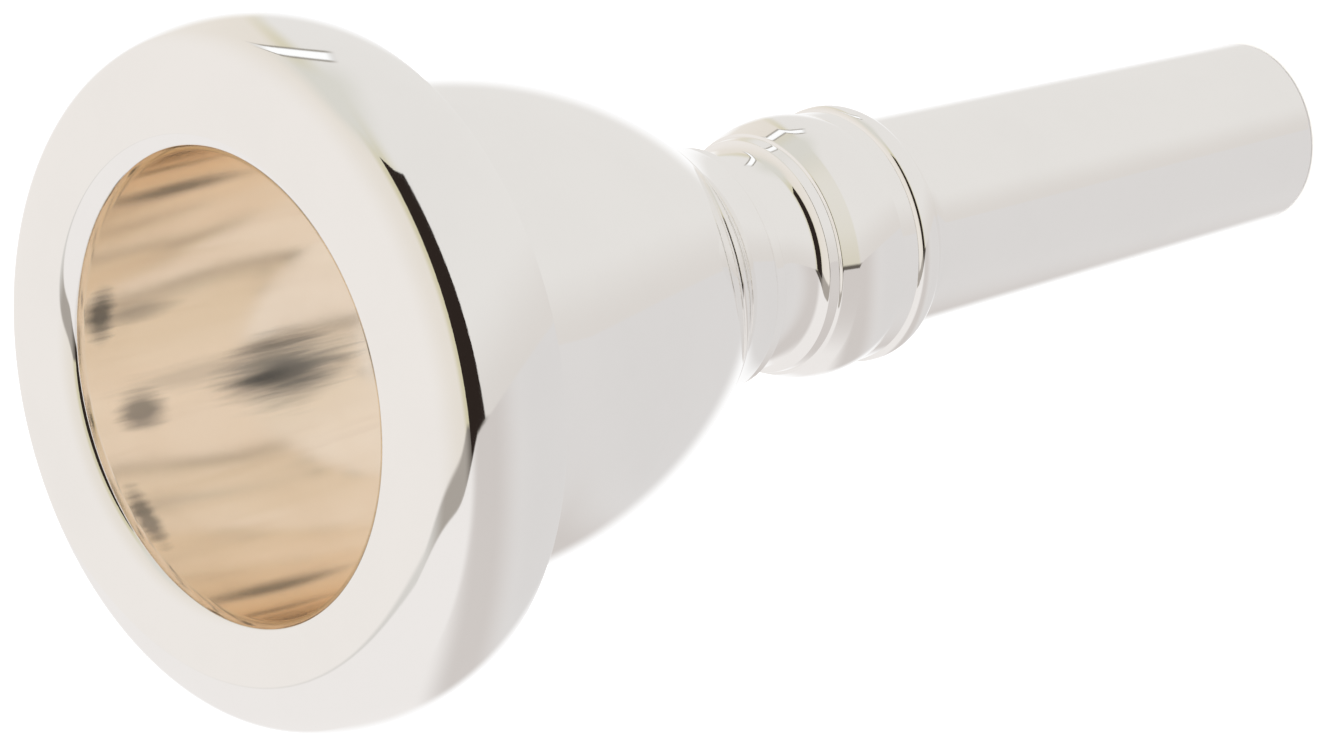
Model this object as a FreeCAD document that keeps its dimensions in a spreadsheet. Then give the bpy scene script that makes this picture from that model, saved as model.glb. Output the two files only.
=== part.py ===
"""Large brass mouthpiece in three screwed modules: rim, cup and shank.

Millimetres. +Z runs along the bore from the shank end to the rim, and the origin is the centre of
the shank's end face, so the mouthpiece stands on its shank end with the rim up.
"""

import FreeCAD
import Part
import Sketcher
import math
import os

# Driving dimensions, in mm. Heights are measured from the shank's end face.
DIMENSIONS = {
    # shared
    "plating": 0.1,
    "thread_pitch": 1.0,
    "thread_depth": 0.6,
    "thread_crest_play": 0.1,
    "thread_root_play": 0.15,
    "thread_flank_play": 0.06,
    "thread_root_flat": 0.215,
    "thread_flank_slope": 0.57735,
    "thread_cut_margin": 0.04,
    "relief_play": 0.05,
    "pilot_chamfer": 0.4,
    "o_ring_section": 1.2,
    "o_ring_play": 0.03,
    "groove_width": 1.4,
    # rim
    "bite_radius": 15.875,
    "bite_height": 97.25,
    "bite_round": 1.8,
    "crown_height": 99.12,
    "face_round": 9.0,
    "edge_round": 3.3,
    "side_round": 11.0,
    "rim_radius": 24.28,
    "rim_widest_height": 93.05,
    "rim_back_height": 88.55,
    "skirt_end_height": 86.9,
    "skirt_end_radius": 20.28,
    "rim_ring_groove_height": 87.9,
    "rim_thread_start_height": 90.05,
    "rim_thread_end_height": 96.05,
    # the cup's threaded collar, which the rim screws over
    "collar_radius": 18.4,
    "collar_relief_height": 89.85,
    "collar_thread_height": 90.95,
    "collar_pilot_height": 96.35,
    "ledge_height": 86.85,
    # the cup's outside
    "cup_radius": 17.28,
    "cove_round": 3.0,
    "cup_widest_height": 80.7,
    "bell_round": 34.37,
    "bell_end_radius": 10.66,
    "bell_end_height": 60.42,
    "line_groove_radius": 10.42,
    "line_groove_height": 60.37,
    "cove_lip_radius": 10.54,
    "cove_lip_height": 60.24,
    "neck_cove_round": 14.0,
    "cove_end_radius": 8.8,
    "cove_end_height": 56.1,
    "ring_radius": 8.6,
    "ring_top_height": 55.85,
    "ring_end_height": 55.05,
    "neck_radius": 7.46,
    "neck_end_height": 53.3,
    "neck_round": 7.3,
    "bead_cove_top_radius": 7.7,
    "bead_cove_top_height": 51.5,
    "bead_cove_round": 1.75,
    "bead_lip_radius": 8.27,
    "bead_lip_height": 50.6,
    "bead_land_radius": 8.41,
    "bead_land_height": 49.8,
    "bead_edge_radius": 8.58,
    "bead_edge_height": 49.7,
    "bead_top_radius": 9.06,
    "bead_top_height": 48.35,
    "bead_round": 7.4,
    "bead_end_radius": 8.98,
    "bead_end_height": 44.1,
    "foot_radius": 8.95,
    "foot_height": 42.7,
    "seam_radius": 8.85,
    "seam_height": 42.55,
    # the cup's inside
    "bite_land": 0.7,
    "cup_wall_round": 140.0,
    "bowl_round": 21.0,
    "throat_entry_round": 6.0,
    "throat_radius": 4.1,
    "throat_height": 56.75,
    "socket_end_height": 53.75,
    "socket_relief_height": 52.25,
    "socket_thread_height": 45.45,
    "shank_ring_groove_height": 43.1,
    # shank
    "stud_radius": 6.2,
    "stud_relief_height": 45.25,
    "stud_thread_height": 46.35,
    "stud_pilot_height": 52.85,
    "stud_end_height": 53.65,
    "thin_bead_edge_radius": 8.95,
    "thin_bead_edge_height": 42.48,
    "thin_bead_shoulder_round": 0.77,
    "thin_bead_top_radius": 9.15,
    "thin_bead_top_height": 42.13,
    "thin_bead_round": 1.9,
    "thin_bead_end_radius": 8.5,
    "thin_bead_end_height": 40.15,
    "shank_cove_round": 1.95,
    "shank_top_radius": 7.52,
    "shank_top_height": 38.5,
    "shank_end_radius": 6.65,
    "shank_end_round": 0.35,
    "backbore_end_radius": 5.3,
    "backbore_mouth_chamfer": 0.3,
    "backbore_top_height": 50.25,
}
# Rough places, in mm, of the corners that the sketch solver finds: radius, then height.
ROUGH_CORNERS = {
    "bite_end": (17.5, 99.0),
    "face_end": (21.65, 98.6),
    "edge_end": (23.6, 96.5),
    "side_end": (23.3, 88.55),
    "wall_end": (10.5, 71.0),
    "bowl_end": (5.9, 60.85),
}
CLOCKWISE = -1
ANTICLOCKWISE = 1
# The sign of each offset that puts the plating inside the material.
RIM_SKIN_SIDE = 1
CUP_SKIN_SIDE = 1
CUP_LINING_SIDE = 1
SHANK_SKIN_SIDE = -1
# Where an outside thread's groove starts, in pitches above the foot of its relief. The inside
# thread's groove follows the ridge, half a pitch off, and starts the run-in's turns lower.
RELIEF_START = 0.5
RIDGE_OFFSET = 0.5
RUN_IN_TURNS = 2
RIM_THREAD_TURNS = 7.8
COLLAR_THREAD_TURNS = 7
SOCKET_THREAD_TURNS = 8.8
STUD_THREAD_TURNS = 8
FULL_TURN = 360
# Each turned blank with the skins that must lie inside it, and the volume in mm3 that may stick out.
SKINS = (("rim_blank", "rim_silver_plating"), ("cup_blank", "cup_silver_plating"),
         ("cup_blank", "cup_gold_plating"), ("shank_blank", "shank_silver_plating"))
VOLUME_TOLERANCE = 0.5


class Size:
    """A length, held as a number and as the spreadsheet expression that gives it."""

    def __init__(self, value, expression):
        self.value = value
        self.expression = expression

    def __add__(self, other):
        return Size(self.value + other.value, "(%s + %s)" % (self.expression, other.expression))

    def __sub__(self, other):
        return Size(self.value - other.value, "(%s - %s)" % (self.expression, other.expression))

    def __mul__(self, other):
        if isinstance(other, Size):
            return Size(self.value * other.value, "(%s * %s)" % (self.expression, other.expression))
        return Size(self.value * other, "(%s * %s)" % (self.expression, other))


def dim(name):
    """The driving dimension of this name."""
    return Size(DIMENSIONS[name], "Dimensions." + name)


# The height of the shank's end face, which is the sketches' horizontal axis.
FLOOR = Size(0.0, "0")


class Outline:
    """A chain of lines and arcs in the XZ plane: radius from the bore's axis, then height.

    A coordinate that is a plain number is only a starting guess: the sketch solver places it from
    the arcs' radii, centres and tangencies.
    """

    def __init__(self, radius, height):
        self.corners = [(radius, height)]
        self.edges = []

    def line(self, radius, height):
        self.corners.append((radius, height))
        self.edges.append({"kind": "line"})
        return self

    def arc(self, radius, height, bend, turn, centre=(None, None), smooth=False):
        """An arc of radius bend to a new corner. smooth makes it tangent to the edge before it."""
        self.corners.append((radius, height))
        self.edges.append({"kind": "arc", "bend": bend, "turn": turn, "centre": centre, "smooth": smooth})
        return self

    def join(self, other):
        """Carry on with another outline that starts where this one ends."""
        self.corners += other.corners[1:]
        self.edges += other.edges
        return self


def in_mm(coordinate):
    """The number behind a coordinate, whether it is a Size or only a guess."""
    return coordinate.value if isinstance(coordinate, Size) else coordinate


def arc_centre(start, end, bend, turn):
    """Centre of the minor arc of radius bend from start to end, turning the given way."""
    chord = end - start
    middle = (start + end) * 0.5
    rise = math.sqrt(max(bend ** 2 - (chord.Length / 2) ** 2, 0.0))
    normal = FreeCAD.Vector(-chord.y, chord.x, 0).normalize()
    return middle + normal * (rise * turn)


def add_edge(sketch, edge, start, end):
    """Add one edge; return its index and which of its ends are the outline's start and end."""
    if edge["kind"] == "line":
        return sketch.addGeometry(Part.LineSegment(start, end)), 1, 2
    bend = edge["bend"].value
    centre = arc_centre(start, end, bend, edge["turn"])
    first, last = (start, end) if edge["turn"] == ANTICLOCKWISE else (end, start)
    from_angle = math.atan2(first.y - centre.y, first.x - centre.x)
    to_angle = math.atan2(last.y - centre.y, last.x - centre.x)
    if to_angle < from_angle:
        to_angle += 2 * math.pi
    circle = Part.Circle(centre, FreeCAD.Vector(0, 0, 1), bend)
    index = sketch.addGeometry(Part.ArcOfCircle(circle, from_angle, to_angle))
    return (index, 1, 2) if edge["turn"] == ANTICLOCKWISE else (index, 2, 1)


def bind(sketch, kind, where, size, name):
    """Add a dimension to the sketch and bind it to its spreadsheet expression."""
    index = sketch.addConstraint(Sketcher.Constraint(kind, *where, size.value))
    sketch.renameConstraint(index, name)
    sketch.setExpression("Constraints." + name, size.expression)


def place_point(sketch, index, end, corner, name):
    """Dimension a point from the sketch's origin, where its coordinate is a Size."""
    for kind, size, axis_name in zip(("DistanceX", "DistanceY"), corner, ("radius", "height")):
        if not isinstance(size, Size):
            continue
        if size is FLOOR:
            sketch.addConstraint(Sketcher.Constraint("PointOnObject", index, end, -1))
            continue
        bind(sketch, kind, (-1, 1, index, end), size, "%s_%s" % (name, axis_name))


def draw(sketch, outline, closed):
    """Draw the outline in the sketch with its constraints."""
    corners = list(outline.corners)
    edges = list(outline.edges)
    if closed:
        corners.append(corners[0])
        edges.append({"kind": "line"})
    points = [FreeCAD.Vector(in_mm(radius), in_mm(height), 0) for radius, height in corners]
    placed = [add_edge(sketch, edge, points[n], points[n + 1]) for n, edge in enumerate(edges)]
    for n, (index, start, end) in enumerate(placed):
        edge = edges[n]
        if edge["kind"] == "arc":
            bind(sketch, "Radius", (index,), edge["bend"], "bend_%d" % n)
            place_point(sketch, index, 3, edge["centre"], "centre_%d" % n)
        if n == 0:
            continue
        before, _, before_end = placed[n - 1]
        kind = "Tangent" if edge.get("smooth") else "Coincident"
        sketch.addConstraint(Sketcher.Constraint(kind, before, before_end, index, start))
    if closed:
        first, last = placed[0], placed[-1]
        sketch.addConstraint(Sketcher.Constraint("Coincident", last[0], last[2], first[0], first[1]))
    for n, (index, start, _) in enumerate(placed):
        place_point(sketch, index, start, corners[n], "corner_%d" % n)
    if not closed:
        place_point(sketch, placed[-1][0], placed[-1][2], corners[-1], "corner_%d" % len(placed))


def body_sketch(body, name, outline):
    """A closed sketch on the body's own XZ plane."""
    sketch = body.newObject("Sketcher::SketchObject", name)
    plane = [item for item in body.Origin.OriginFeatures if item.Role == "XZ_Plane"][0]
    sketch.AttachmentSupport = [(plane, "")]
    sketch.MapMode = "FlatFace"
    draw(sketch, outline, closed=True)
    return sketch


def turned_body(doc, name, outline):
    """A body turned about the bore's axis from a closed outline."""
    body = doc.addObject("PartDesign::Body", name)
    sketch = body_sketch(body, name + "_section", outline)
    turned = body.newObject("PartDesign::Revolution", name + "_turned")
    turned.Profile = sketch
    turned.ReferenceAxis = (sketch, ["V_Axis"])
    turned.Angle = FULL_TURN
    return body


def thread_body(doc, name, outline, turns):
    """The helical groove of a right-hand thread, as a solid to cut away."""
    body = doc.addObject("PartDesign::Body", name)
    sketch = body_sketch(body, name + "_section", outline)
    helix = body.newObject("PartDesign::AdditiveHelix", name + "_helix")
    helix.Profile = sketch
    helix.ReferenceAxis = (sketch, ["V_Axis"])
    helix.Mode = "pitch-height-angle"
    helix.setExpression("Pitch", "Dimensions.thread_pitch")
    helix.setExpression("Height", "Dimensions.thread_pitch * %s" % turns)
    return body


def plating(doc, name, outline, side):
    """A skin of the plating's thickness on one side of an outline, turned about the bore's axis."""
    sketch = doc.addObject("Sketcher::SketchObject", name + "_path")
    sketch.Placement = FreeCAD.Placement(FreeCAD.Vector(), FreeCAD.Rotation(FreeCAD.Vector(1, 0, 0), 90))
    draw(sketch, outline, closed=False)
    section = doc.addObject("Part::Offset2D", name + "_section")
    section.Source = sketch
    section.Mode = "Skin"
    section.Join = "Intersection"
    section.Fill = True
    section.setExpression("Value", "Dimensions.plating * %d" % side)
    skin = doc.addObject("Part::Revolution", name)
    skin.Source = section
    skin.Axis = FreeCAD.Vector(0, 0, 1)
    skin.Angle = FULL_TURN
    skin.Solid = True
    skin.Label = name
    return skin


def cut(doc, name, base, tool):
    result = doc.addObject("Part::Cut", name)
    result.Base = base
    result.Tool = tool
    result.Refine = False
    return result


def male_thread_section(crest_radius, height):
    """Section of the groove between the ridges of an outside thread."""
    root = crest_radius - dim("thread_depth")
    outer = crest_radius + dim("thread_cut_margin")
    root_half = dim("thread_root_flat") * 0.5
    outer_half = root_half + (outer - root) * dim("thread_flank_slope")
    return (Outline(root, height - root_half).line(outer, height - outer_half)
            .line(outer, height + outer_half).line(root, height + root_half))


def female_thread_section(crest_radius, height):
    """Section of the inside thread's groove: the outside thread's ridge with play round it."""
    inner = crest_radius - dim("thread_depth")
    outer = crest_radius + dim("thread_crest_play")
    inner_half = (dim("thread_pitch") - dim("thread_root_flat")) * 0.5 + dim("thread_flank_play")
    outer_half = inner_half - (outer - inner) * dim("thread_flank_slope")
    return (Outline(inner, height - inner_half).line(outer, height - outer_half)
            .line(outer, height + outer_half).line(inner, height + inner_half))


def o_ring(doc, name, inner_radius, groove_height):
    """A round-section ring that lies on the lower face of its groove."""
    ring = doc.addObject("Part::Torus", name)
    section_half = dim("o_ring_section") * 0.5
    ring.setExpression("Radius1", (inner_radius + section_half).expression)
    ring.setExpression("Radius2", section_half.expression)
    ring.setExpression("Placement.Base.z", (groove_height + section_half).expression)
    ring.Label = name
    return ring


def rim_skin():
    """The rim's polished outside, from the bite over the face and down to the skirt's end."""
    bite, bite_height = dim("bite_radius"), dim("bite_height")
    crown, edge = dim("crown_height"), dim("rim_radius")
    side_centre = (edge - dim("side_round"), dim("rim_widest_height"))
    face_centre = (None, crown - dim("face_round"))
    rough = ROUGH_CORNERS
    return (Outline(bite, bite_height)
            .arc(*rough["bite_end"], dim("bite_round"), CLOCKWISE, centre=(None, bite_height))
            .arc(*rough["face_end"], dim("face_round"), CLOCKWISE, centre=face_centre, smooth=True)
            .arc(*rough["edge_end"], dim("edge_round"), CLOCKWISE, smooth=True)
            .arc(rough["side_end"][0], dim("rim_back_height"), dim("side_round"), CLOCKWISE,
                 centre=side_centre, smooth=True)
            .line(dim("skirt_end_radius"), dim("skirt_end_height")))


def rim_section():
    """The whole rim: its skin, then up the bore past the ring groove and the thread's land."""
    bore = dim("collar_radius") + dim("thread_crest_play") + dim("relief_play")
    land = dim("collar_radius") - dim("thread_depth") + dim("thread_root_play")
    groove = dim("collar_radius") + dim("o_ring_section") + dim("o_ring_play") * 2
    groove_height = dim("rim_ring_groove_height")
    groove_top = groove_height + dim("groove_width")
    return (rim_skin()
            .line(bore, dim("skirt_end_height"))
            .line(bore, groove_height).line(groove, groove_height)
            .line(groove, groove_top).line(bore, groove_top)
            .line(bore, dim("rim_thread_start_height")).line(land, dim("rim_thread_start_height"))
            .line(land, dim("rim_thread_end_height")).line(bore, dim("rim_thread_end_height"))
            .line(bore, dim("bite_height")))


def cup_lining():
    """The cup's gilded inside, from the bite down the bowl to the top of the bare throat."""
    bite, land = dim("bite_radius"), dim("bite_height") - dim("bite_land")
    throat_top = dim("throat_height")
    rough = ROUGH_CORNERS
    return (Outline(bite, dim("bite_height"))
            .line(bite, land)
            .arc(*rough["wall_end"], dim("cup_wall_round"), CLOCKWISE, centre=(None, land))
            .arc(*rough["bowl_end"], dim("bowl_round"), CLOCKWISE, smooth=True)
            .arc(dim("throat_radius"), throat_top, dim("throat_entry_round"), ANTICLOCKWISE,
                 centre=(None, throat_top), smooth=True))


def cup_skin():
    """The cup's outside, from the seam up over the beads, the neck and the bell to the ledge."""
    return (Outline(dim("seam_radius"), dim("seam_height"))
            .line(dim("foot_radius"), dim("foot_height"))
            .line(dim("bead_end_radius"), dim("bead_end_height"))
            .arc(dim("bead_top_radius"), dim("bead_top_height"), dim("bead_round"), ANTICLOCKWISE)
            .line(dim("bead_edge_radius"), dim("bead_edge_height"))
            .line(dim("bead_land_radius"), dim("bead_land_height"))
            .line(dim("bead_lip_radius"), dim("bead_lip_height"))
            .arc(dim("bead_cove_top_radius"), dim("bead_cove_top_height"), dim("bead_cove_round"),
                 CLOCKWISE)
            .arc(dim("neck_radius"), dim("neck_end_height"), dim("neck_round"), CLOCKWISE)
            .line(dim("neck_radius"), dim("ring_end_height"))
            .line(dim("ring_radius"), dim("ring_end_height"))
            .line(dim("ring_radius"), dim("ring_top_height"))
            .line(dim("cove_end_radius"), dim("cove_end_height"))
            .arc(dim("cove_lip_radius"), dim("cove_lip_height"), dim("neck_cove_round"), CLOCKWISE)
            .line(dim("line_groove_radius"), dim("line_groove_height"))
            .line(dim("bell_end_radius"), dim("bell_end_height"))
            .arc(dim("cup_radius"), dim("cup_widest_height"), dim("bell_round"), ANTICLOCKWISE)
            .line(dim("cup_radius"), dim("ledge_height") - dim("plating") - dim("cove_round"))
            .arc(dim("skirt_end_radius"), dim("ledge_height") - dim("plating"), dim("cove_round"),
                 CLOCKWISE)
            .line(dim("skirt_end_radius"), dim("ledge_height")))


def cup_section():
    """The whole cup: lining, throat, socket for the stud, outside, and the threaded collar."""
    wide = dim("stud_radius") + dim("thread_crest_play") + dim("relief_play")
    land = dim("stud_radius") - dim("thread_depth") + dim("thread_root_play")
    groove = dim("stud_radius") + dim("o_ring_section") + dim("o_ring_play") * 2
    groove_height = dim("shank_ring_groove_height")
    groove_top = groove_height + dim("groove_width")
    collar = dim("collar_radius")
    relief = collar - dim("thread_depth") - dim("relief_play")
    chamfer = dim("pilot_chamfer")
    return (cup_lining()
            .line(dim("throat_radius"), dim("socket_end_height"))
            .line(wide, dim("socket_end_height")).line(wide, dim("socket_relief_height"))
            .line(land, dim("socket_relief_height")).line(land, dim("socket_thread_height"))
            .line(wide, dim("socket_thread_height")).line(wide, groove_top)
            .line(groove, groove_top).line(groove, groove_height)
            .line(wide, groove_height).line(wide, dim("seam_height"))
            .line(dim("seam_radius"), dim("seam_height"))
            .join(cup_skin())
            .line(collar, dim("ledge_height")).line(collar, dim("collar_relief_height"))
            .line(relief, dim("collar_relief_height")).line(relief, dim("collar_thread_height"))
            .line(collar, dim("collar_thread_height")).line(collar, dim("collar_pilot_height"))
            .line(relief, dim("collar_pilot_height")).line(relief, dim("bite_height") - chamfer)
            .line(relief - chamfer, dim("bite_height")))


def shank_skin():
    """The shank's plated surface: thin bead, taper, end face and backbore."""
    mouth = dim("backbore_mouth_chamfer")
    return (Outline(dim("seam_radius"), dim("seam_height"))
            .line(dim("thin_bead_edge_radius"), dim("thin_bead_edge_height"))
            .arc(dim("thin_bead_top_radius"), dim("thin_bead_top_height"),
                 dim("thin_bead_shoulder_round"), CLOCKWISE)
            .arc(dim("thin_bead_end_radius"), dim("thin_bead_end_height"), dim("thin_bead_round"),
                 CLOCKWISE)
            .arc(dim("shank_top_radius"), dim("shank_top_height"), dim("shank_cove_round"),
                 ANTICLOCKWISE)
            .line(dim("shank_end_radius"), dim("shank_end_round"))
            .arc(dim("shank_end_radius") - dim("shank_end_round"), FLOOR, dim("shank_end_round"),
                 CLOCKWISE)
            .line(dim("backbore_end_radius") + mouth, FLOOR)
            .line(dim("backbore_end_radius"), mouth)
            .line(dim("throat_radius"), dim("backbore_top_height")))


def shank_section():
    """The whole shank: its plated surface, the throat, then the threaded stud downwards."""
    stud = dim("stud_radius")
    relief = stud - dim("thread_depth") - dim("relief_play")
    chamfer = dim("pilot_chamfer")
    return (shank_skin()
            .line(dim("throat_radius"), dim("stud_end_height"))
            .line(relief - chamfer, dim("stud_end_height"))
            .line(relief, dim("stud_end_height") - chamfer)
            .line(relief, dim("stud_pilot_height")).line(stud, dim("stud_pilot_height"))
            .line(stud, dim("stud_thread_height")).line(relief, dim("stud_thread_height"))
            .line(relief, dim("stud_relief_height")).line(stud, dim("stud_relief_height"))
            .line(stud, dim("seam_height")))


def groove_start(relief):
    """The height at which an outside thread's groove starts, in the relief of this name."""
    return dim(relief) + dim("thread_pitch") * RELIEF_START


def ridge_start(relief):
    """The height at which the inside thread's groove starts, below the relief of this name."""
    return groove_start(relief) + dim("thread_pitch") * (RIDGE_OFFSET - RUN_IN_TURNS)


def make_rim(doc):
    """The rim: a turned ring with a silver skin, an inside thread and a rubber ring."""
    blank = turned_body(doc, "rim_blank", rim_section())
    skin = plating(doc, "rim_silver_plating", rim_skin(), RIM_SKIN_SIDE)
    start = ridge_start("collar_relief_height")
    groove = thread_body(doc, "rim_thread_groove", female_thread_section(dim("collar_radius"), start),
                         RIM_THREAD_TURNS)
    core = cut(doc, "rim_core", cut(doc, "rim_unthreaded", blank, skin), groove)
    ring = o_ring(doc, "rim_o_ring", dim("collar_radius") + dim("o_ring_play"),
                  dim("rim_ring_groove_height"))
    return [core, skin, ring]


def make_cup(doc):
    """The cup: a turned bell with a gold lining, a silver outside and a thread at each end."""
    blank = turned_body(doc, "cup_blank", cup_section())
    skin = plating(doc, "cup_silver_plating", cup_skin(), CUP_SKIN_SIDE)
    lining = plating(doc, "cup_gold_plating", cup_lining(), CUP_LINING_SIDE)
    collar_start = groove_start("collar_relief_height")
    collar_groove = thread_body(doc, "collar_thread_groove",
                                male_thread_section(dim("collar_radius"), collar_start),
                                COLLAR_THREAD_TURNS)
    socket_start = ridge_start("stud_relief_height")
    socket_groove = thread_body(doc, "socket_thread_groove",
                                female_thread_section(dim("stud_radius"), socket_start),
                                SOCKET_THREAD_TURNS)
    bare = cut(doc, "cup_unlined", cut(doc, "cup_unplated", blank, skin), lining)
    core = cut(doc, "cup_core", cut(doc, "cup_half_threaded", bare, collar_groove), socket_groove)
    return [core, skin, lining]


def make_shank(doc):
    """The shank: a turned taper with a silver skin, a threaded stud and a rubber ring."""
    blank = turned_body(doc, "shank_blank", shank_section())
    skin = plating(doc, "shank_silver_plating", shank_skin(), SHANK_SKIN_SIDE)
    start = groove_start("stud_relief_height")
    groove = thread_body(doc, "stud_thread_groove", male_thread_section(dim("stud_radius"), start),
                         STUD_THREAD_TURNS)
    core = cut(doc, "shank_core", cut(doc, "shank_unthreaded", blank, skin), groove)
    ring = o_ring(doc, "shank_o_ring", dim("stud_radius") + dim("o_ring_play"),
                  dim("shank_ring_groove_height"))
    return [core, skin, ring]


def make_sheet(doc):
    """The spreadsheet that holds every driving dimension."""
    sheet = doc.addObject("Spreadsheet::Sheet", "Dimensions")
    for row, (name, value) in enumerate(DIMENSIONS.items(), start=1):
        sheet.set("A%d" % row, name)
        sheet.set("B%d" % row, str(value))
        sheet.setAlias("B%d" % row, name)
    return sheet


def check(doc, pieces):
    """Stop if any object failed, any piece isn't one valid solid or any skin leaves its blank."""
    for item in doc.Objects:
        if "Invalid" in item.State or "Error" in item.State:
            raise RuntimeError("%s failed: %s" % (item.Name, item.State))
    for piece in pieces:
        shape = piece.Shape
        if shape.isNull() or not shape.isValid() or len(shape.Solids) != 1:
            raise RuntimeError("%s isn't one valid solid" % piece.Label)
    for blank_name, skin_name in SKINS:
        skin = doc.getObject(skin_name).Shape
        inside = skin.common(doc.getObject(blank_name).Shape)
        if abs(inside.Volume - skin.Volume) > VOLUME_TOLERANCE:
            raise RuntimeError("%s lies outside %s" % (skin_name, blank_name))


def main():
    doc = FreeCAD.newDocument("mouthpiece")
    make_sheet(doc)
    doc.recompute()
    pieces = make_rim(doc) + make_cup(doc) + make_shank(doc)
    doc.recompute()
    check(doc, pieces)
    os.makedirs("parts", exist_ok=True)
    for piece in pieces:
        piece.Shape.exportStep("parts/%s.step" % piece.Label)
        print(piece.Label, round(piece.Shape.Volume, 1), "mm3")


main()
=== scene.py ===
"""Looks of the large silver-plated mouthpiece: turned skins, plated metal, studio and camera.

Outlines are in mm, as in the CAD: radius from the bore's axis, then height above the shank's end.
"""

import math

import bpy
import numpy as np
from mathutils import Matrix, Vector


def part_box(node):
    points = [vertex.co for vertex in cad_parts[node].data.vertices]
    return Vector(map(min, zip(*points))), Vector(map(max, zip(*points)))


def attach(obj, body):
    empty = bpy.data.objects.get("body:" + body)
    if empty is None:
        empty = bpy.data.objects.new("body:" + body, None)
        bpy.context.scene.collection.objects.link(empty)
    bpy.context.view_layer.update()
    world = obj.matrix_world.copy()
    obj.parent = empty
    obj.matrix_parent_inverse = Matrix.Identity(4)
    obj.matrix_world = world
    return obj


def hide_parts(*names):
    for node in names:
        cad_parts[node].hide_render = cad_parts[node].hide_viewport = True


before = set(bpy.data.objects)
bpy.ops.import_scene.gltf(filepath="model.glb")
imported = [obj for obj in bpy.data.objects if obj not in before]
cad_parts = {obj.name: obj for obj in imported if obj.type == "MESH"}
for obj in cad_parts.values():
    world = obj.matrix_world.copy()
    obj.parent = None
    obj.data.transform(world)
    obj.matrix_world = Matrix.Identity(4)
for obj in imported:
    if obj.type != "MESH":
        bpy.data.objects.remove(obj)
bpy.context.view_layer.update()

MM = 0.001
CLOCKWISE, ANTICLOCKWISE = -1, 1

# ---------------------------------------------------------------- sizes, in mm


def reach_mm(node):
    """A CAD node's outer radius, lowest height and highest height, in mm."""
    low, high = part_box(node)
    return high.x / MM, low.z / MM, high.z / MM


RIM_RADIUS, SKIRT_END_HEIGHT, CROWN_HEIGHT = reach_mm("rim_silver_plating")
SKIRT_END_RADIUS, SEAM_HEIGHT, LEDGE_HEIGHT = reach_mm("cup_silver_plating")
LINING_RADIUS, THROAT_HEIGHT, BITE_HEIGHT = reach_mm("cup_gold_plating")
PLATING = 0.1

BITE_RADIUS = LINING_RADIUS - PLATING
BITE_ROUND = 1.8
FACE_ROUND = 9.0
EDGE_ROUND = 3.3
SIDE_ROUND = 11.0
RIM_WIDEST_HEIGHT = 93.05
RIM_BACK_HEIGHT = 88.55

CUP_RADIUS = 17.28
COVE_ROUND = 3.0
CUP_WIDEST_HEIGHT = 80.7
BELL_ROUND = 34.37
BELL_END = (10.66, 60.42)
LINE_GROOVE = (10.42, 60.37)
COVE_LIP = (10.54, 60.24)
NECK_COVE_ROUND = 14.0
NECK_COVE_END = (8.8, 56.1)
RING_RADIUS = 8.6
RING_TOP_HEIGHT = 55.85
RING_END_HEIGHT = 55.05
NECK_RADIUS = 7.46
NECK_END_HEIGHT = 53.3
NECK_ROUND = 7.3
BEAD_COVE_TOP = (7.7, 51.5)
BEAD_COVE_ROUND = 1.75
BEAD_LIP = (8.27, 50.6)
BEAD_LAND = (8.41, 49.8)
BEAD_EDGE = (8.58, 49.7)
BEAD_TOP = (9.06, 48.35)
BEAD_ROUND = 7.4
BEAD_END = (8.98, 44.1)
FOOT = (8.95, 42.7)
SEAM_RADIUS = 8.85

BITE_LAND = 0.7
CUP_WALL_ROUND = 140.0
BOWL_ROUND = 21.0
THROAT_ENTRY_ROUND = 6.0
THROAT_RADIUS = 4.1

THIN_BEAD_EDGE = (8.95, 42.48)
THIN_BEAD_SHOULDER_ROUND = 0.77
THIN_BEAD_TOP = (9.15, 42.13)
THIN_BEAD_ROUND = 1.9
THIN_BEAD_END = (8.5, 40.15)
SHANK_COVE_ROUND = 1.95
SHANK_TOP = (7.52, 38.5)
SHANK_END_RADIUS = 6.65
SHANK_END_ROUND = 0.35
BACKBORE_END_RADIUS = 5.3
BACKBORE_MOUTH_CHAMFER = 0.3
BACKBORE_TOP_HEIGHT = 50.25

# ---------------------------------------------------------------- turned meshes

SEGMENTS = 288
ARC_STEP = 0.3
ARC_STEP_ANGLE = math.radians(3)
LINE_STEP = 2.0
# How close to a corner a line's extra point is, and the shortest line that has such points.
GUARD = 0.12
GUARDED_LENGTH = 3 * GUARD
CORNER_REACH = 0.05
CORNER_ANGLE = math.radians(12)
CORNER_POINTS = 4
SHARP_ANGLE = math.radians(30)


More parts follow.
